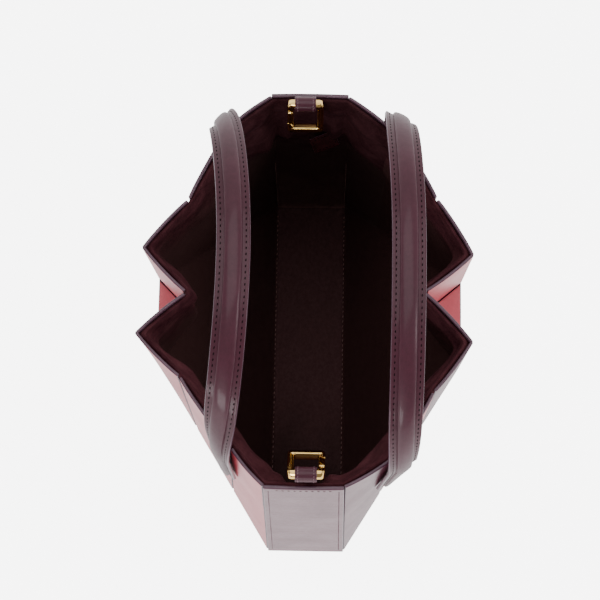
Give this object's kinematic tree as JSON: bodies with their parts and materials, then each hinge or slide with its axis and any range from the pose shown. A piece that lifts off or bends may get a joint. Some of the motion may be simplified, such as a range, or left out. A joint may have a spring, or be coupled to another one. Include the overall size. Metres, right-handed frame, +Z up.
{
  "type": "tote bag",
  "caption": "Open-topped tote bag of flat leather panels on fold lines, with a narrow base band, sides folded in at the rim, paired arched handles and snap hooks inside the ends.",
  "frame": {"origin": "centre of the bag's bounding box, at the underside of the base band", "axes": "+Z up from the base to the handles, +Y from the front end to the back end along the base band, +X to the bag's right side"},
  "size_m": [0.201, 0.2536, 0.306],
  "materials": {
    "leather_plum": "smooth semi-gloss",
    "leather_coral": "smooth semi-gloss",
    "lining_suede": "suede",
    "metal_gold": "polished gold"
  },
  "bodies": {
    "bag": {"panel_side_front_left": "leather_coral", "panel_fold_front_left": "leather_coral", "panel_corner_front_left": "leather_coral", "panel_side_front_right": "leather_coral", "panel_fold_front_right": "leather_coral", "panel_side_back_left": "leather_coral", "panel_fold_back_left": "leather_coral", "panel_side_back_right": "leather_coral", "panel_fold_back_right": "leather_coral", "panel_corner_back_right": "leather_coral", "panel_end_front_left": "leather_coral", "panel_end_back_right": "leather_coral", "fold_triangle_left": "leather_coral", "fold_triangle_right": "leather_coral", "panel_corner_front_right": "leather_plum", "panel_corner_back_left": "leather_plum", "panel_end_front_right": "leather_plum", "panel_end_back_left": "leather_plum", "band": "leather_plum", "lower_panel_left": "leather_plum", "lower_panel_right": "leather_plum", "handle_left": "leather_plum", "handle_right": "leather_plum", "tab_front": "leather_plum", "tab_back": "leather_plum", "inner_patch": "leather_plum", "lining": "lining_suede"},
    "clip_front": {"clip_frame_front": "metal_gold"},
    "gate_front": {"clip_gate_front": "metal_gold"},
    "clip_back": {"clip_frame_back": "metal_gold"},
    "gate_back": {"clip_gate_back": "metal_gold"}
  },
  "joints": [
    {"name": "clip_swing_front", "type": "hinge", "parent": "bag", "child": "clip_front", "pos_m": [0.0013, -0.1124, 0.2253], "axis": [1, 0, 0], "range_deg": [-27, 61]},
    {"name": "gate_front", "type": "hinge", "parent": "clip_front", "child": "gate_front", "pos_m": [0.01055, -0.10772, 0.22123], "axis": [0, 0.6561, 0.7547], "range_deg": [0, 32], "stiffness_Nm_per_rad": 0.004, "springref_deg": -5.73},
    {"name": "clip_swing_back", "type": "hinge", "parent": "bag", "child": "clip_back", "pos_m": [-0.0027, 0.1176, 0.2253], "axis": [-1, 0, 0], "range_deg": [-10, 78]},
    {"name": "gate_back", "type": "hinge", "parent": "clip_back", "child": "gate_back", "pos_m": [-0.01195, 0.11431, 0.22004], "axis": [0, -0.848, 0.5299], "range_deg": [0, 32], "stiffness_Nm_per_rad": 0.004, "springref_deg": -5.73}
  ]
}
